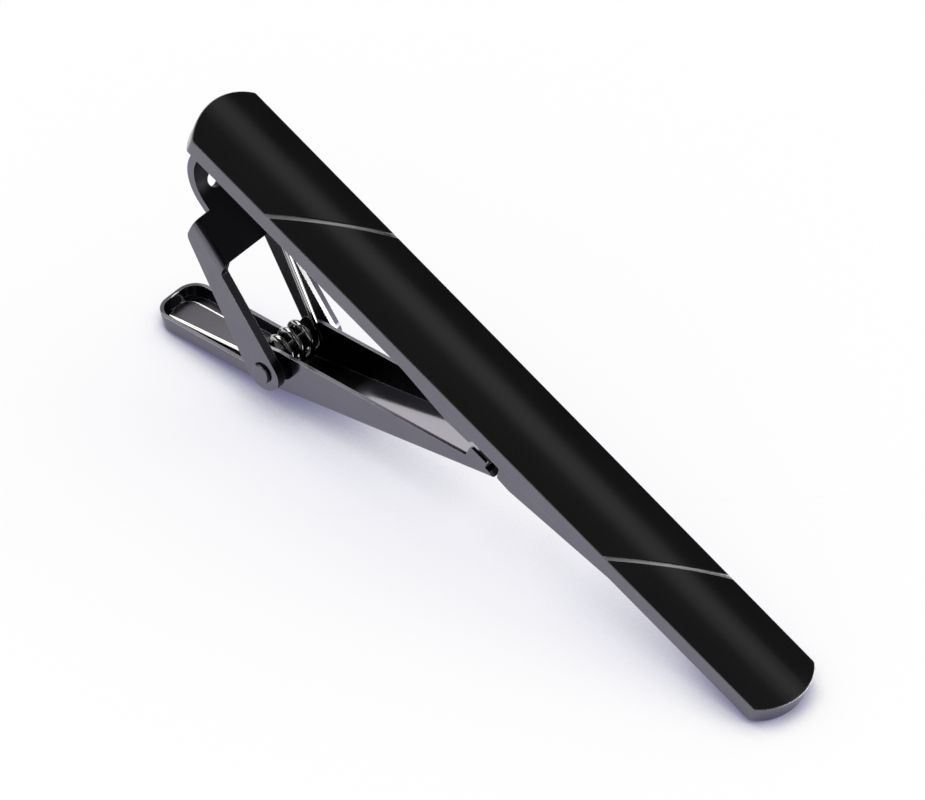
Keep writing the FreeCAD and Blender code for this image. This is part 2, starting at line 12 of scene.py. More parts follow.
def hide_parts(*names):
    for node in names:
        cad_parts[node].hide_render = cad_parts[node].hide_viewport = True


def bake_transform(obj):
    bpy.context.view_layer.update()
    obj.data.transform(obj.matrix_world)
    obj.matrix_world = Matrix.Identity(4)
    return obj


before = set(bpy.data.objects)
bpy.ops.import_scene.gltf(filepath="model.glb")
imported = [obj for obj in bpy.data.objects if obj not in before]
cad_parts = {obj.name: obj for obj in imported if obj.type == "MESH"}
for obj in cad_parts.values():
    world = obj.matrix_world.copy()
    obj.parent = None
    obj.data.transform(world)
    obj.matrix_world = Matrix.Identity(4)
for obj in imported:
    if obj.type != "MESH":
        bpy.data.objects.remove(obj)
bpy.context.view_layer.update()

Colour = tuple[float, float, float]
Stops = tuple[tuple[float, float], ...]
MM = 0.001
log = logging.getLogger("tie_clip")


class Body(Enum):
    """The two bodies that move against each other."""

    BAR = "bar"
    LEVER = "lever"


class Slot(Enum):
    """The record's material slots."""

    METAL = "gunmetal"
    ENAMEL = "black_enamel"
    WIRE = "spring_wire"


class Operation(Enum):
    """The sums that a Math node can do here."""

    ADD = "ADD"
    SUBTRACT = "SUBTRACT"
    MULTIPLY = "MULTIPLY"
    DIVIDE = "DIVIDE"
    POWER = "POWER"
    MAXIMUM = "MAXIMUM"
    LESS_THAN = "LESS_THAN"


class Signal:
    """A shader socket that takes part in Python expressions."""

    def __init__(self, graph: "Graph", socket: bpy.types.NodeSocket) -> None:
        """Keep the socket with the graph that it lies in."""
        self.graph = graph
        self.socket = socket

    def _sum(self, operation: Operation, first: "Signal | float", second: "Signal | float") -> "Signal":
        """Add the Math node of one operation.

        Args:
            operation: What the node works out.
            first: Its upper input.
            second: Its lower input.

        Returns:
            The node's result.
        """
        return self.graph.add("ShaderNodeMath", {"operation": operation.value}, {0: first, 1: second})

    def __add__(self, other: "Signal | float") -> "Signal":
        """Return this plus other."""
        return self._sum(Operation.ADD, self, other)

    __radd__ = __add__

    def __sub__(self, other: "Signal | float") -> "Signal":
        """Return this minus other."""
        return self._sum(Operation.SUBTRACT, self, other)

    def __rsub__(self, other: "Signal | float") -> "Signal":
        """Return other minus this."""
        return self._sum(Operation.SUBTRACT, other, self)

    def __mul__(self, other: "Signal | float") -> "Signal":
        """Return this times other."""
        return self._sum(Operation.MULTIPLY, self, other)

    __rmul__ = __mul__

    def __truediv__(self, other: "Signal | float") -> "Signal":
        """Return this over other."""
        return self._sum(Operation.DIVIDE, self, other)

    def __pow__(self, other: "Signal | float") -> "Signal":
        """Return this to the power of other."""
        return self._sum(Operation.POWER, self, other)

    def at_least(self, other: "Signal | float") -> "Signal":
        """Return the larger of this and other."""
        return self._sum(Operation.MAXIMUM, self, other)

    def below(self, other: "Signal | float") -> "Signal":
        """Return 1 where this is less than other, and 0 elsewhere."""
        return self._sum(Operation.LESS_THAN, self, other)


class Graph:
    """The node tree of one material or world."""

    def __init__(self, tree: bpy.types.NodeTree) -> None:
        """Start from an empty tree."""
        self.tree = tree
        tree.nodes.clear()

    def add(self, kind: str, settings: dict[str, object] | None = None,
            sockets: "dict[str | int, Signal | float | tuple] | None" = None,
            output: str | int = 0) -> Signal:
        """Add a node, set it, then fill or link its sockets.

        Args:
            kind: The node's type name.
            settings: Its properties by name; "stops" holds a ramp's positions and colours.
            sockets: Values or signals by socket name or number.
            output: The output that is returned.

        Returns:
            The chosen output.
        """
        node = self.tree.nodes.new(kind)
        for name, setting in (settings or {}).items():
            if name == "stops":
                self._set_stops(node.color_ramp, setting)
            else:
                setattr(node, name, setting)
        for name, content in (sockets or {}).items():
            if isinstance(content, Signal):
                self.tree.links.new(content.socket, node.inputs[name])
            else:
                node.inputs[name].default_value = content
        return Signal(self, node.outputs[output]) if len(node.outputs) else Signal(self, node.inputs[0])

    @staticmethod
    def _set_stops(ramp: bpy.types.ColorRamp, stops: list[tuple[float, Colour]]) -> None:
        """Give a ramp its stops.

        Args:
            ramp: The ramp, which has two stops when it is new.
            stops: Positions and colours, in order.
        """
        while len(ramp.elements) < len(stops):
            ramp.elements.new(1.0)
        for element, (place, colour) in zip(ramp.elements, stops):
            element.position = place
            element.color = (*colour, 1.0)

    def mix(self, share: Signal | float, first: Signal | Colour, second: Signal | Colour) -> Signal:
        """Mix two colours.

        Args:
            share: How much of the second shows.
            first: The colour at share 0.
            second: The colour at share 1.

        Returns:
            The mixed colour.
        """
        ends = [end if isinstance(end, Signal) else (*end, 1.0) for end in (first, second)]
        return self.add("ShaderNodeMix", {"data_type": "RGBA"}, {0: share, 6: ends[0], 7: ends[1]}, 2)

    def ramp(self, share: Signal, stops: Stops) -> Signal:
        """Map a number through a ramp of grey stops."""
        greys = [(place, (grey, grey, grey)) for place, grey in stops]
        return self.add("ShaderNodeValToRGB", {"stops": greys}, {0: share})

    def noise(self, place: Signal, scale: float, detail: float = 2.0, roughness: float = 0.5) -> Signal:
        """Add a cloudy noise.

        Args:
            place: The point that it is read at.
            scale: Waves per metre.
            detail: Octaves.
            roughness: How much the finer octaves count.

        Returns:
            The noise, about 0.5.
        """
        sockets = {"Vector": place, "Scale": scale, "Detail": detail, "Roughness": roughness}
        return self.add("ShaderNodeTexNoise", None, sockets)

    def stretched(self, place: Signal, scale: tuple[float, float, float]) -> Signal:
        """Scale a point along each axis."""
        return self.add("ShaderNodeVectorMath", {"operation": "MULTIPLY"}, {0: place, 1: scale})

    def part(self, point: Signal, axis: int) -> Signal:
        """Return one coordinate of a point or a direction."""
        return self.add("ShaderNodeSeparateXYZ", None, {0: point}, axis)

    def dot(self, first: Signal, second: Signal | tuple[float, float, float]) -> Signal:
        """Return how far two directions agree."""
        return self.add("ShaderNodeVectorMath", {"operation": "DOT_PRODUCT"}, {0: first, 1: second}, 1)

    def bump(self, height: Signal, strength: float, distance: float,
             facing: Signal | None = None) -> Signal:
        """Turn a height into a normal.

        Args:
            height: The height, from 0 to 1.
            strength: How much of the slope shows.
            distance: What height 1 stands for, in metres.
            facing: The normal that the height is counted from, if it isn't the surface's own.

        Returns:
            The normal.
        """
        sockets = {"Height": height, "Strength": strength, "Distance": distance}
        if facing is not None:
            sockets["Normal"] = facing
        return self.add("ShaderNodeBump", None, sockets)

    def finish(self, **sockets: "Signal | float | tuple") -> None:
        """End the material in one surface shader.

        Args:
            sockets: The shader's sockets, with _ for each space in their names.
        """
        named = {name.replace("_", " "): content for name, content in sockets.items()}
        shader = self.add("ShaderNodeBsdfPrincipled", None, named)
        self.add("ShaderNodeOutputMaterial", None, {"Surface": shader})


def new_material(name: str) -> tuple[bpy.types.Material, Graph]:
    """Start a material that is drawn by nodes.

    Args:
        name: The material's name.

    Returns:
        The material, and its empty graph.
    """
    material = bpy.data.materials.new(name)
    material.use_nodes = True
    return material, Graph(material.node_tree)


@dataclass(frozen=True)
class PlatedMetal:
    """Dark mirror plating with a faint haze, polishing lines and brighter edges; subclasses paint shade
    and highlights onto chosen faces.
    """

    name: str
    deep: Colour = (0.138, 0.132, 0.160)
    pale: Colour = (0.167, 0.160, 0.192)
    edge: Colour = (0.34, 0.335, 0.37)
    # Near-black painted where shade falls, on the faces that a subclass picks.
    painted_shade: Colour = (0.018, 0.017, 0.020)
    painted_shade_haze: float = 0.30
    # Bright bare metal, also painted on faces that a subclass picks to stand in for a highlight.
    bare_and_highlight: Colour = (0.88, 0.88, 0.885)
    bare_and_highlight_haze: float = 0.0
    gloss: float = 0.10
    haze: float = 0.14
    haze_scale: float = 420.0
    line_scale: tuple[float, float, float] = (260.0, 9000.0, 9000.0)
    line_height: float = 0.25
    edge_reach: float = 0.09 * MM
    wear_stops: Stops = ((0.01, 0.0), (0.16, 1.0))
    least_wear: float = 0.35
    wear_spread: float = 0.5
    wear_haze: float = 0.06
    peel: float = 0.0025 * MM
    relief: float = 0.35

    def _painted_shade_share(self, graph: Graph, place: Signal, facing: Signal) -> Signal | float:
        """Return how much shade is painted on a spot; plain plating has none."""
        return 0.0

    def _bare_and_highlight_mask(self, graph: Graph, place: Signal, facing: Signal) -> Signal | float:
        """Return the share of bare metal and painted highlight on a spot; plain plating has none."""
        return 0.0

    def _leaning(self, graph: Graph, facing: Signal) -> Signal:
        """Return the direction that the mirror faces, which is the surface's own."""
        return facing

    def material(self) -> bpy.types.Material:
        """Draw the finish.

        Returns:
            The finish as a material.
        """
        material, graph = new_material(self.name)
        place = graph.add("ShaderNodeTexCoord", output="Object")
        facing = graph.add("ShaderNodeTexCoord", output="Normal")
        cloud = graph.noise(place, self.haze_scale, 3.0)
        lines = graph.noise(graph.stretched(place, self.line_scale), 1.0, 2.0)
        eased = graph.add("ShaderNodeBevel", {"samples": 4}, {"Radius": self.edge_reach})
        upright = graph.add("ShaderNodeNewGeometry", output="Normal")
        worn = graph.ramp(1.0 - graph.dot(eased, upright), self.wear_stops)
        # Painted shade darkens the plating where a subclass finds shade; bare metal and painted
        # highlights brighten it where a subclass picks them.
        shade_share = self._painted_shade_share(graph, place, facing)
        bare_and_highlight_share = self._bare_and_highlight_mask(graph, place, facing)
        plating = graph.mix(shade_share, graph.mix(cloud, self.deep, self.pale), self.painted_shade)
        rubbed = graph.mix(worn * (self.least_wear + self.wear_spread * cloud), plating, self.edge)
        hazed = self.haze * lines * cloud + self.painted_shade_haze * shade_share + self.bare_and_highlight_haze * bare_and_highlight_share
        leaning = graph.add("ShaderNodeVectorTransform",
                            {"vector_type": "NORMAL", "convert_from": "OBJECT", "convert_to": "WORLD"},
                            {0: self._leaning(graph, facing)})
        graph.finish(
            Base_Color=graph.mix(bare_and_highlight_share, rubbed, self.bare_and_highlight),
            Metallic=1.0,
            Roughness=self.gloss + hazed + self.wear_haze * worn,
            Normal=graph.bump(cloud + self.line_height * lines, self.relief, self.peel, leaning),
        )
        return material


@dataclass(frozen=True)
class GroovedPlating(PlatedMetal):
    """The bar's plating, with the satin that the cutter leaves between the black fields."""

    bare_and_highlight_haze: float = 0.22
    face: tuple[float, float, float] = (0.3632, 0.0, 0.9317)
    face_stops: Stops = ((0.75, 0.0), (0.9, 1.0))

    def _bare_and_highlight_mask(self, graph: Graph, place: Signal, facing: Signal) -> Signal:
        """Return 1 on what faces up from the bar."""
        return graph.ramp(graph.dot(facing, self.face), self.face_stops)


@dataclass(frozen=True)
class BracketPlating(PlatedMetal):
    """The bracket's and the pin's plating: painted shade on the faces that look up and those that look
    inwards, and a painted highlight along the far arm's edge.
    """

    bare_and_highlight_haze: float = 0.08
    arm_spacing: float = 5.1 * MM
    tongue_edge: float = 2.0 * MM
    edge_band_depth: float = 0.32 * MM
    upward_allowance: float = 0.15
    # Ramp from facing up or inwards to painted shade.
    inner_stops: Stops = ((0.40, 0.0), (0.66, 1.0))
    # Ramp from facing along the bar to the painted highlight on the far arm's edge.
    edge_highlight_stops: Stops = ((0.6, 0.0), (0.8, 1.0))

    def _painted_shade_share(self, graph: Graph, place: Signal, facing: Signal) -> Signal:
        """Find the faces where shade is painted.

        Args:
            graph: The material's graph.
            place: The spot on the object.
            facing: The direction that the surface faces.

        Returns:
            1 where the web looks up, the tongue and the near arm along the bar,
            and an arm at the middle plane.
        """
        across = graph.part(place, 1)
        inward = across * graph.part(facing, 1) * (-2.0 / self.arm_spacing)
        forward = graph.part(facing, 0) * across.below(self.tongue_edge)
        most = (graph.part(facing, 2) - self.upward_allowance).at_least(forward).at_least(inward)
        return graph.ramp(most, self.inner_stops)

    def _bare_and_highlight_mask(self, graph: Graph, place: Signal, facing: Signal) -> Signal:
        """Find the band along the far arm's edge where a highlight is painted.

        Args:
            graph: The material's graph.
            place: The spot on the object.
            facing: The direction that the surface faces.

        Returns:
            1 on the band.
        """
        across = graph.part(place, 1)
        outer_edge = self.arm_spacing / 2.0 + self.edge_band_depth
        on_band = across.below(outer_edge) - across.below(self.tongue_edge)
        return on_band * graph.ramp(graph.part(facing, 0), self.edge_highlight_stops)


@dataclass(frozen=True)
class LeverPlating(PlatedMetal):
    """The lever's plating: its floor leans to the near side, and shade is painted where it falls inside
    the tray.

    The stretches of painted shade run across the floor. They are counted along the lever, from its thumb
    end.
    A painted highlight runs round the rim of the long oval panel in the thumb tab.
    """

    # Near-black painted where shade falls inside the tray.
    painted_shade: Colour = (0.008, 0.008, 0.009)
    lean: float = 0.12
    heading: tuple[float, float, float] = (0.9317, 0.0, -0.3632)
    thumb_end: float = -29.0 * MM
    reach: float = 30.0 * MM
    # Share of painted shade along the floor, counted from the thumb end.
    floor_shade_stops: Stops = (
        (0.0, 0.64), (0.10, 0.56), (0.27, 0.40), (0.36, 1.0),
        (0.545, 1.0), (0.60, 0.0), (0.893, 0.0), (0.899, 1.0),
    )
    floor_stops: Stops = ((0.3, 0.0), (0.5, 1.0))
    flat_stops: Stops = ((0.86, 0.0), (0.94, 1.0))
    wall_spacing: float = 3.74 * MM
    wall_stops: Stops = ((0.4, 0.0), (0.7, 1.0))
    panel_heading: tuple[float, float, float] = (0.9945, 0.0, 0.1045)
    panel_middle: float = -24.54 * MM
    panel_straight: float = 2.905 * MM
    panel_half: float = 1.12 * MM
    # Half width of the band of painted highlight round the panel.
    rim_half: float = 0.11 * MM
    rim_upward_stops: Stops = ((0.0, 0.0), (0.1, 1.0))
    rim_across_stops: Stops = ((0.1, 0.2), (0.7, 1.0))

    def _painted_shade_share(self, graph: Graph, place: Signal, facing: Signal) -> Signal:
        """Find the faces where shade is painted.

        Args:
            graph: The material's graph.
            place: The spot on the object.
            facing: The direction that the surface faces.

        Returns:
            1 inside the walls, round the coil and between the teeth.
        """
        along = (graph.dot(place, self.heading) - self.thumb_end) / self.reach
        upward = graph.ramp(graph.part(facing, 2), self.floor_stops)
        across = graph.part(place, 1)
        inward = across * graph.part(facing, 1) * (-2.0 / self.wall_spacing)
        inside = (across * across).below(self.wall_spacing ** 2 / 4.0)
        on_floor = graph.ramp(along, self.floor_shade_stops) * upward * inside
        return on_floor.at_least(graph.ramp(inward, self.wall_stops))

    def _bare_and_highlight_mask(self, graph: Graph, place: Signal, facing: Signal) -> Signal:
        """Find the rim of the long oval panel in the thumb tab's floor, where a highlight is painted.

        Args:
            graph: The material's graph.
            place: The spot on the object.
            facing: The direction that the surface faces.

        Returns:
            1 on the far rim, less on the near one.
        """
        along = graph.dot(place, self.panel_heading) - self.panel_middle
        past = ((along * along) ** 0.5 - self.panel_straight).at_least(0.0)
        across = graph.part(place, 1)
        outside = (past * past + across * across) ** 0.5 - self.panel_half
        rim = (outside * outside).below(self.rim_half ** 2)
        upward = graph.ramp(graph.part(facing, 2), self.rim_upward_stops)
        return rim * upward * graph.ramp(0.5 + across / (2.0 * self.panel_half), self.rim_across_stops)

    def _leaning(self, graph: Graph, facing: Signal) -> Signal:
        """Lean the mirror of what faces up.

        Args:
            graph: The material's graph.
            facing: The direction that the surface faces.

        Returns:
            The direction that the mirror faces.
        """
        flat = graph.ramp(graph.part(facing, 2), self.flat_stops)
        push = graph.add("ShaderNodeVectorMath", {"operation": "SCALE"},
                         {0: (0.0, -self.lean, 0.0), "Scale": flat})
        return graph.add("ShaderNodeVectorMath", {"operation": "ADD"}, {0: facing, 1: push})


@dataclass(frozen=True)
class HardEnamel:
    """Polished black enamel: all but black, with a soft sheen and a faint ripple."""

    name: str
    deep: Colour = (0.0032, 0.0031, 0.0034)
    pale: Colour = (0.0052, 0.0051, 0.0056)
    gloss: float = 0.19
    haze: float = 0.03
    cloud_scale: float = 300.0
    speck_scale: float = 5200.0
    speck_share: float = 0.02
    ripple: float = 0.002 * MM
    relief: float = 0.3

    def material(self) -> bpy.types.Material:
        """Draw the finish.

        Returns:
            The finish as a material.
        """
        material, graph = new_material(self.name)
        place = graph.add("ShaderNodeTexCoord", output="Object")
        cloud = graph.noise(place, self.cloud_scale, 3.0)
        specks = graph.noise(place, self.speck_scale, 2.0)
        graph.finish(
            Base_Color=graph.mix(cloud, self.deep, self.pale),
            Roughness=self.gloss + self.haze * (cloud - 0.5) + self.speck_share * (specks - 0.5),
            Normal=graph.bump(cloud + self.speck_share * specks, self.relief, self.ripple),
        )
        return material


@dataclass(frozen=True)
class DrawnWire:
    """Bright dark wire with the fine lines that drawing leaves along it."""

    name: str
    deep: Colour = (0.40, 0.395, 0.39)
    pale: Colour = (0.48, 0.475, 0.47)
    gloss: float = 0.06
    haze: float = 0.03
    line_scale: tuple[float, float, float] = (260.0, 5.0, 1.0)
    ripple: float = 0.0004 * MM
    relief: float = 0.3

    def material(self) -> bpy.types.Material:
        """Draw the finish.

        Returns:
            The finish as a material.
        """
        material, graph = new_material(self.name)
        along = graph.add("ShaderNodeTexCoord", output="UV")
        lines = graph.noise(graph.stretched(along, self.line_scale), 1.0, 3.0)
        graph.finish(
            Base_Color=graph.mix(lines, self.deep, self.pale),
            Metallic=1.0,
            Roughness=self.gloss + self.haze * lines ** 2.0,
            Normal=graph.bump(lines, self.relief, self.ripple),
        )
        return material


@dataclass(frozen=True)
class PaleFloor:
    """Plain white sweep, all but even, that glows a little itself so that shadows stay pale; a painted
    shadow darkens its colour and glow near the object.
    """

    name: str
    deep: Colour = (0.290, 0.292, 0.180)
    pale: Colour = (0.300, 0.302, 0.190)
    glow: Colour = (0.687, 0.684, 0.802)
    shaded: Colour = (0.08, 0.08, 0.09)
    shaded_glow: Colour = (0.095, 0.092, 0.200)
    shade_reach: float = 9.0 * MM
    shade_stops: Stops = ((0.15, 0.0), (0.68, 1.0))
    touch_reach: float = 3.5 * MM
    touch_stops: Stops = ((0.30, 0.35), (0.80, 1.0))
    cloud_scale: float = 6.0
    haze: float = 0.85
    haze_spread: float = 0.1

    @staticmethod
    def _openness(graph: Graph, reach: float) -> Signal:
        """Return how much of the sky a spot sees past what stands within reach."""
        return graph.add("ShaderNodeAmbientOcclusion", {"samples": 8}, {"Distance": reach}, "AO")

    def material(self) -> bpy.types.Material:
        """Draw the finish.

        Returns:
            The finish as a material.
        """
        material, graph = new_material(self.name)
        place = graph.add("ShaderNodeTexCoord", output="Object")
        cloud = graph.noise(place, self.cloud_scale, 2.0)
        # Painted shadow: the floor's colour and glow darken where nearby parts hide the sky, broadly and
        # at contact.
        shaded = graph.ramp(self._openness(graph, self.shade_reach), self.shade_stops)
        touched = graph.ramp(self._openness(graph, self.touch_reach), self.touch_stops)
        clear = shaded * touched
        graph.finish(
            Base_Color=graph.mix(clear, self.shaded, graph.mix(cloud, self.deep, self.pale)),
            Roughness=self.haze + self.haze_spread * cloud,
            Specular_IOR_Level=0.0,
            Emission_Color=graph.mix(clear, self.shaded_glow, self.glow),
            Emission_Strength=1.0,
        )
        return material


def dress(piece: bpy.types.Object, material: bpy.types.Material) -> None:
    """Give a piece one finish all over.

    Args:
        piece: A CAD node or a new piece.
        material: Its finish.
    """
    piece.data.materials.clear()
    piece.data.materials.append(material)
    log.info("dressed %s in %s", piece.name, material.name)


@dataclass(frozen=True)
class EasedEdges:
    """Edges rounded a little, as tumbling and plating do."""

    width: float
    least_angle: float = math.radians(24.0)
    weld_reach: float = 0.002 * MM
    flat_angle: float = math.radians(0.4)
    segments: int = 3
    face_weight: int = 60

    def apply(self, node: bpy.types.Object) -> None:
        """Round the edges of a CAD node, whose own mesh stays as it is.

        Args:
            node: The node.
        """
        weld = node.modifiers.new("weld", "WELD")
        weld.merge_threshold = self.weld_reach
        flatten = node.modifiers.new("flatten", "DECIMATE")
        flatten.decimate_type = "DISSOLVE"
        flatten.angle_limit = self.flat_angle
        bevel = node.modifiers.new("bevel", "BEVEL")
        bevel.width = self.width
        bevel.segments = self.segments
        bevel.limit_method = "ANGLE"
        bevel.angle_limit = self.least_angle
        normals = node.modifiers.new("normals", "WEIGHTED_NORMAL")
        normals.weight = self.face_weight
        for face in node.data.polygons:
            face.use_smooth = True


@dataclass
class Bar:
    """The long domed bar: metal strip, three black fields, and the swelling that the jaw bites."""

    metal: bpy.types.Material
    enamel: bpy.types.Material
    metal_nodes: tuple[str, ...] = ("bar_body", "jaw_saddle")
    enamel_nodes: tuple[str, ...] = ("enamel_left", "enamel_middle", "enamel_right")
    metal_rounding: float = 0.07 * MM
    enamel_rounding: float = 0.05 * MM

    def dress(self) -> None:
        """Finish the bar's nodes."""
        for name in self.metal_nodes:
            EasedEdges(self.metal_rounding).apply(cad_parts[name])
            dress(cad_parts[name], self.metal)
        for name in self.enamel_nodes:
            EasedEdges(self.enamel_rounding).apply(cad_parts[name])
            dress(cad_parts[name], self.enamel)


@dataclass
class Clasp:
    """The stamped bracket, the pin through its arms, and the lever that turns on it."""

    finishes: dict[str, PlatedMetal] = field(default_factory=lambda: {
        "stirrup": BracketPlating("bracket_plating"),
        "pivot_pin": BracketPlating("pin_plating"),
        "lever": LeverPlating("lever_plating"),
    })
    roundings: dict[str, float] = field(default_factory=lambda: {
        "stirrup": 0.09 * MM,
        "pivot_pin": 0.04 * MM,
        "lever": 0.09 * MM,
    })

    def dress(self) -> None:
        """Finish the clasp's nodes."""
        for name, finish in self.finishes.items():
            EasedEdges(self.roundings[name]).apply(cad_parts[name])
            dress(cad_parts[name], finish.material())


@dataclass
class TorsionSpring:
    """The coil round the pin: one leg on the thumb tab's floor, the other up in the curl of the tongue.

    The side view's angles are counted from the bar's own direction, upwards.
    """

    finish: bpy.types.Material
    wire_radius: float = 0.23 * MM
    coil_radius: float = 1.25 * MM
    middle: Vector = Vector((-17.752142, 0.0, 3.818639)) * MM
    bar_tilt: float = math.radians(21.2986)
    first_angle: float = math.radians(-58.751)
    last_angle: float = math.radians(1127.606)
    near_side: float = -1.40 * MM
    far_side: float = 1.61 * MM
    thumb_leg: float = 10.7 * MM
    tongue_leg: float = 16.52 * MM
    steps_per_turn: int = 48
    leg_steps: int = 8
    ring_points: int = 20
    tip_rings: int = 4
    tip_share: float = 0.6

    def _place(self, angle: float, across: float) -> Vector:
        """Find a point of the coil.

        Args:
            angle: Its angle in the side view.
            across: How far across it lies.

        Returns:
            The point.
        """
        turned = angle - self.bar_tilt
        rise = Vector((math.cos(turned), 0.0, math.sin(turned))) * self.coil_radius
        return self.middle + rise + Vector((0.0, across, 0.0))

    def _heading(self, angle: float) -> Vector:
        """Return the direction of the wire in the side view at an angle."""
        turned = angle - self.bar_tilt
        return Vector((-math.sin(turned), 0.0, math.cos(turned)))

    def line(self) -> list[Vector]:
        """Lay out the middle line of the wire.

        Returns:
            Its points, from the thumb leg's tip to the tongue leg's.
        """
        sweep = self.last_angle - self.first_angle
        count = round(sweep / math.tau * self.steps_per_turn)
        ease = 0.5 * math.pi / sweep
        coil = []
        for step in range(count + 1):
            share = step / count
            eased = self._eased(share, ease)
            across = self.near_side + (self.far_side - self.near_side) * eased
            coil.append(self._place(self.first_angle + sweep * share, across))
        start = [coil[0] - self._heading(self.first_angle) * self.thumb_leg * (1 - step / self.leg_steps)
                 for step in range(self.leg_steps)]
        end = [coil[-1] + self._heading(self.last_angle) * self.tongue_leg * (step + 1) / self.leg_steps
               for step in range(self.leg_steps)]
        return start + coil + end

    @staticmethod
    def _eased(share: float, ease: float) -> float:
        """Return a share that starts and ends at rest and runs evenly between.

        Args:
            share: From 0 to 1.
            ease: The stretch at each end over which the speed builds up.

        Returns:
            The eased share.
        """
        speed = 1.0 / (1.0 - ease)
        if share < ease:
            return speed * share * share / (2.0 * ease)
        if share > 1.0 - ease:
            return 1.0 - speed * (1.0 - share) ** 2 / (2.0 * ease)
        return speed * (share - ease / 2.0)

    def build(self) -> bpy.types.Object:
        """Sweep the wire along its line.

        Returns:
            The spring, as one closed mesh.
        """
        line = self.line()
        centres, radii = self._stations(line)
        mesh = bmesh.new()
        uv = mesh.loops.layers.uv.new("along")
        rings = []
        runs = [0.0]
        side = Vector((0.0, 1.0, 0.0))
        for index, (centre, radius) in enumerate(zip(centres, radii)):
            before = centres[max(index - 1, 0)]
            after = centres[min(index + 1, len(centres) - 1)]
            heading = (after - before).normalized()
            side = (side - heading * side.dot(heading)).normalized()
            other = heading.cross(side)
            ring = []
            for point in range(self.ring_points):
                turn = math.tau * point / self.ring_points
                spoke = side * math.cos(turn) + other * math.sin(turn)
                ring.append(mesh.verts.new(centre + spoke * radius))
            rings.append(ring)
            if index:
                runs.append(runs[-1] + (centre - before).length)
        for index in range(len(rings) - 1):
            for point in range(self.ring_points):
                following = (point + 1) % self.ring_points
                corners = ((index, point), (index, following),
                           (index + 1, following), (index + 1, point))
                face = mesh.faces.new([rings[row][spot] for row, spot in corners])
                face.smooth = True
                for loop, (row, spot) in zip(face.loops, corners):
                    around = 1.0 if spot == 0 and point else spot / self.ring_points
                    loop[uv].uv = (runs[row], around)
        mesh.faces.new(list(reversed(rings[0])))
        mesh.faces.new(rings[-1])
        bmesh.ops.recalc_face_normals(mesh, faces=mesh.faces)
        data = bpy.data.meshes.new("wound_spring")
        mesh.to_mesh(data)
        mesh.free()
        spring = bpy.data.objects.new("wound_spring", data)
        bpy.context.scene.collection.objects.link(spring)
        return spring

    def _stations(self, line: list[Vector]) -> tuple[list[Vector], list[float]]:
        """Add the rounded tips to the wire's line.

        Args:
            line: The wire's middle line.

        Returns:
            The places of the rings, and their radii.
        """
        out = (line[0] - line[1]).normalized()
        last_out = (line[-1] - line[-2]).normalized()
        angles = [0.5 * math.pi * (ring + 1) / (self.tip_rings + 1) for ring in range(self.tip_rings)]
        bulge = self.wire_radius * self.tip_share
        first_tip = [line[0] + out * bulge * math.sin(turn) for turn in reversed(angles)]
        last_tip = [line[-1] + last_out * bulge * math.sin(turn) for turn in angles]
        narrowing = [math.cos(turn) for turn in angles]
        shares = narrowing[::-1] + [1.0] * len(line) + narrowing
        return first_tip + line + last_tip, [share * self.wire_radius for share in shares]

    def dress(self, spring: bpy.types.Object) -> None:
        """Finish the spring, bake its placing into its mesh, and hide the CAD node that it stands in
        for.

        Args:
            spring: What build made.
        """
        dress(spring, self.finish)
        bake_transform(spring)
        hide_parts("torsion_spring")


@dataclass
class Softbox:
    """A lit panel that shows in the gloss alone, brightest in its middle."""

    name: str
    towards: Vector
    distance: float
    width: float
    height: float
    strength: float
    tint: Colour = (1.0, 1.0, 1.0)
    falloff: float = 0.5
    level: Vector = Vector((1.0, 0.0, 0.0))

    def _material(self) -> bpy.types.Material:
        """Draw the panel's light, which fades towards its rim.

        Returns:
            The light as a material.
        """
        material, graph = new_material(self.name)
        place = graph.add("ShaderNodeTexCoord", output="UV")
        fades = []
        for axis in range(2):
            spot = graph.part(place, axis)
            near = 4.0 * spot * (1.0 - spot)
            fades.append(near.at_least(0.0) ** self.falloff)
        glow = graph.mix(fades[0] * fades[1], (0.0, 0.0, 0.0), self.tint)
        light = graph.add("ShaderNodeEmission", None, {"Color": glow, "Strength": self.strength})
        graph.add("ShaderNodeOutputMaterial", None, {"Surface": light})
        return material

    def build(self) -> bpy.types.Object:
        """Hang the panel so that it faces the object.

        Returns:
            The panel.
        """
        back = self.towards.normalized()
        side = (self.level - back * self.level.dot(back)).normalized()
        rise = back.cross(side)
        middle = back * self.distance
        corners = [middle + side * (self.width * 0.5 * across) + rise * (self.height * 0.5 * up)
                   for across, up in ((-1, -1), (1, -1), (1, 1), (-1, 1))]
        data = bpy.data.meshes.new(self.name)
        data.from_pydata([tuple(corner) for corner in corners], [], [(0, 1, 2, 3)])
        layer = data.uv_layers.new(name="panel")
        for loop, spot in zip(layer.data, ((0, 0), (1, 0), (1, 1), (0, 1))):
            loop.uv = spot
        panel = bpy.data.objects.new(self.name, data)
        bpy.context.scene.collection.objects.link(panel)
        data.materials.append(self._material())
        panel.visible_camera = False
        panel.visible_diffuse = False
        panel.visible_shadow = False
        return panel


@dataclass
class Skylight:
    """A broad soft light from far away, which shapes the shadow and keeps out of the gloss."""

    name: str
    towards: Vector
    spread: float
    strength: float
    tint: Colour

    def build(self) -> bpy.types.Object:
        """Hang the light.

        Returns:
            The light.
        """
        data = bpy.data.lights.new(self.name, "SUN")
        data.energy = self.strength
        data.angle = self.spread
        data.color = self.tint
        light = bpy.data.objects.new(self.name, data)
        bpy.context.scene.collection.objects.link(light)
        light.rotation_mode = "QUATERNION"
        light.rotation_quaternion = self.towards.to_track_quat("Z", "Y")
        light.visible_glossy = False
        return light


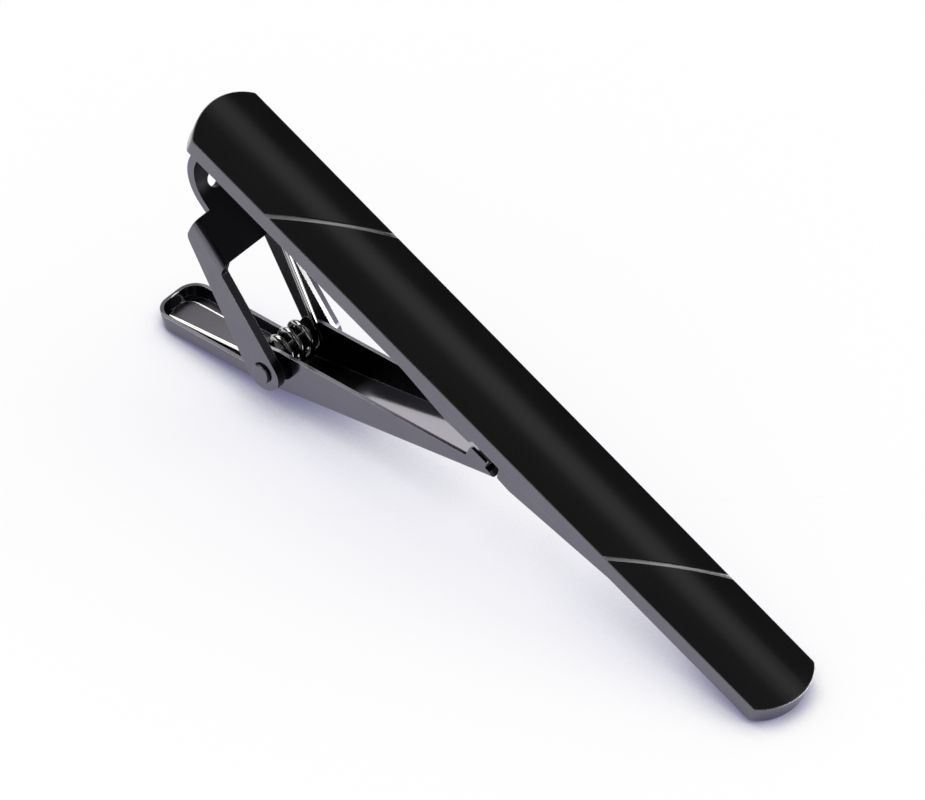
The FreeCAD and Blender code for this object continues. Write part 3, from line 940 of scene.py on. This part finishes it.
@dataclass
class Studio:
    """White floor, dark ceiling, soft lights."""

    floor_reach: float = 4.0
    dark: Colour = (0.020, 0.020, 0.023)
    skylights: tuple[Skylight, ...] = (
        Skylight("key_light", Vector((0.12, 0.46, 0.88)), math.radians(60.0), 0.7, (1.0, 0.99, 0.97)),
        Skylight("fill_light", Vector((0.0, 0.0, 1.0)), math.radians(165.0), 2.65, (1.0, 1.0, 1.0)),
    )
    softboxes: tuple[Softbox, ...] = (
        Softbox("band_box", Vector((0.127, 0.514, 0.849)), 0.5, 0.34, 0.15, 0.64),
        Softbox("back_box", Vector((-0.775, 0.37, 0.47)), 0.4, 0.36, 0.22, 2.75, (1.0, 0.99, 0.90),
                level=Vector((0.4, 0.9, 0.0))),
        Softbox("rim_box", Vector((-0.58, 0.74, 0.33)), 0.4, 0.26, 0.14, 4.0),
        Softbox("side_box", Vector((-0.74, -0.05, 0.67)), 0.5, 0.45, 0.25, 3.5,
                level=Vector((0.0, 1.0, 0.0))),
        Softbox("left_box", Vector((-0.50, -0.65, 0.50)), 0.5, 0.40, 0.24, 3.0,
                level=Vector((0.8, -0.6, 0.0))),
        Softbox("front_box", Vector((0.15, -0.95, 0.25)), 0.5, 0.90, 0.34, 0.8),
        Softbox("edge_box", Vector((0.854, 0.514, 0.0)), 0.06, 0.07, 0.06, 7.0,
                level=Vector((-0.514, 0.854, 0.0))),
        Softbox("top_box", Vector((0.10, -0.10, 1.0)), 0.5, 1.0, 1.0, 0.10, falloff=0.3),
    )

    def build(self) -> None:
        """Lay the floor and hang the lights."""
        data = bpy.data.meshes.new("floor")
        reach = self.floor_reach
        corners = [(-reach, -reach, 0), (reach, -reach, 0), (reach, reach, 0), (-reach, reach, 0)]
        data.from_pydata(corners, [], [(0, 1, 2, 3)])
        floor = bpy.data.objects.new("floor", data)
        bpy.context.scene.collection.objects.link(floor)
        data.materials.append(PaleFloor("white_sweep").material())
        for light in self.skylights + self.softboxes:
            light.build()
            log.info("hung %s", light.name)
        world = bpy.data.worlds.new("dark_ceiling")
        world.use_nodes = True
        graph = Graph(world.node_tree)
        sky = graph.add("ShaderNodeBackground", None, {"Color": (*self.dark, 1.0), "Strength": 1.0})
        graph.add("ShaderNodeOutputWorld", None, {"Surface": sky})
        bpy.context.scene.world = world
        bpy.context.scene.view_settings.view_transform = "Standard"


@dataclass
class PhotoCamera:
    """A long lens, high over the bar's tail."""

    place: Vector = Vector((0.722120, -0.772715, 1.076843))
    turn: Quaternion = Quaternion((0.86198876, 0.35327702, 0.14213196, 0.33461803))
    lens: float = 857.594
    sensor: float = 36.0
    clip_start: float = 0.05
    clip_end: float = 20.0

    def build(self) -> None:
        """Set the scene's camera."""
        data = bpy.data.cameras.new("camera")
        data.sensor_fit = "HORIZONTAL"
        data.sensor_width = self.sensor
        data.lens = self.lens
        data.clip_start = self.clip_start
        data.clip_end = self.clip_end
        camera = bpy.data.objects.new("camera", data)
        bpy.context.scene.collection.objects.link(camera)
        camera.location = self.place
        camera.rotation_mode = "QUATERNION"
        camera.rotation_quaternion = self.turn
        bpy.context.scene.camera = camera


def main() -> None:
    """Build the studio, then the clip piece by piece."""
    logging.basicConfig(level=logging.INFO)
    PhotoCamera().build()
    Studio().build()
    metal = GroovedPlating("bar_plating").material()
    enamel = HardEnamel("black_enamel").material()
    wire = DrawnWire("drawn_wire").material()
    Bar(metal, enamel).dress()
    Clasp().dress()
    spring = TorsionSpring(wire)
    spring.dress(spring.build())


if __name__ == "__main__":
    main()
